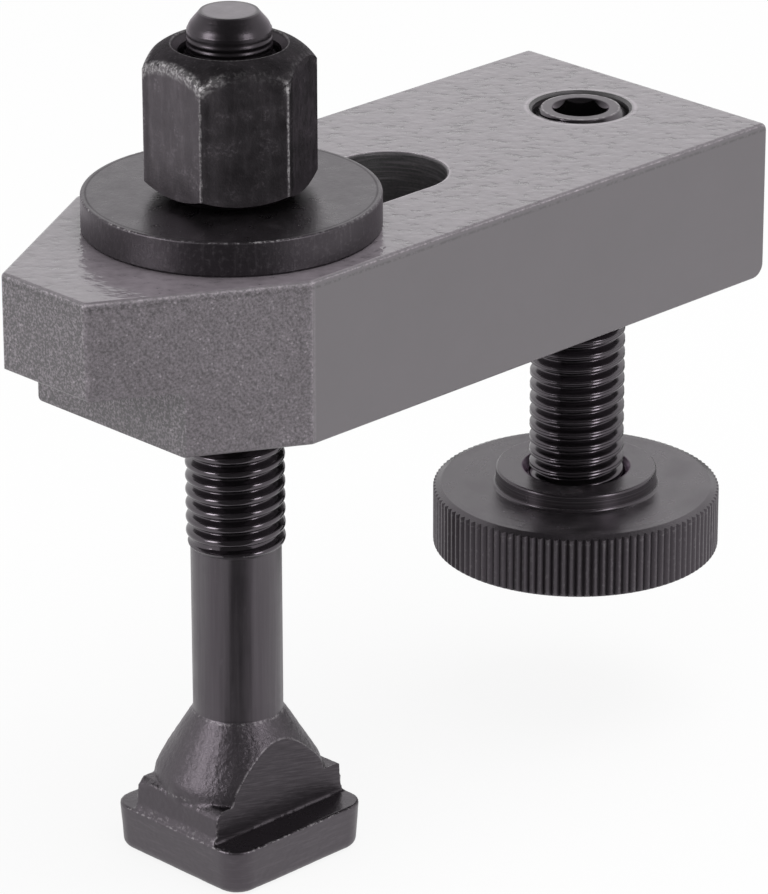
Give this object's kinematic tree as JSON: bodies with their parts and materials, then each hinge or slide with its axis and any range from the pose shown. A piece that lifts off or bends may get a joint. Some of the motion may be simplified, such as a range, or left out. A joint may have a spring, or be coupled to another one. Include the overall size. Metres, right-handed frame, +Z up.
{
  "type": "strap clamp",
  "caption": "Slotted strap clamp with a stepped nose, T-slot bolt, plate washer, domed hexagon nut and a screw-adjusted knurled support foot.",
  "frame": {"origin": "on the T-slot bolt's axis, at the shoulder of its head that bears on the T-slot's lips", "axes": "+Z up the bolt towards the nut, -X towards the clamp's nose, Y across the bar"},
  "size_m": [0.106, 0.04, 0.1059],
  "materials": {
    "bar_paint": "mid-grey paint, satin, with a fine ripple on top",
    "bolt_steel": "black-oxide steel, satin",
    "washer_steel": "black-oxide steel, satin",
    "nut_steel": "black-oxide steel, worn bright on its edges",
    "screw_steel": "black-oxide steel, glossy",
    "foot_steel": "black-oxide steel, turned faces"
  },
  "bodies": {
    "tee_bolt": {"tee_bolt": "bolt_steel"},
    "washer": {"washer": "washer_steel"},
    "hex_nut": {"hex_nut": "nut_steel"},
    "clamp_bar": {"clamp_bar": "bar_paint"},
    "knurled_foot": {"knurled_foot": "foot_steel"},
    "support_screw": {"support_screw": "screw_steel"}
  },
  "joints": [
    {"name": "nut_turn", "type": "hinge", "parent": "washer", "child": "hex_nut", "pos_m": [0, 0, 0.0872], "axis": [0, 0, 1], "range_deg": [-8438.3, 724]},
    {"name": "clamp_height", "type": "slide", "parent": "tee_bolt", "child": "washer", "axis": [0, 0, 1], "range_m": [-0.041, 0.0035]},
    {"name": "clamp_slide", "type": "slide", "parent": "washer", "child": "clamp_bar", "axis": [1, 0, 0], "range_m": [-0.0264, 0.0029]},
    {"name": "support_turn", "type": "hinge", "parent": "knurled_foot", "child": "support_screw", "pos_m": [0.0587, 0, 0.046], "axis": [0, 0, 1], "range_deg": [-1649.7, 5620]},
    {"name": "support_height", "type": "slide", "parent": "clamp_bar", "child": "knurled_foot", "axis": [0, 0, 1], "range_m": [-0.008, 0.0273]}
  ],
  "couplings": [
    {"joint": "nut_turn", "follows": "clamp_height", "rad_per_m": 3590.4},
    {"joint": "support_turn", "follows": "support_height", "rad_per_m": 3590.4}
  ]
}
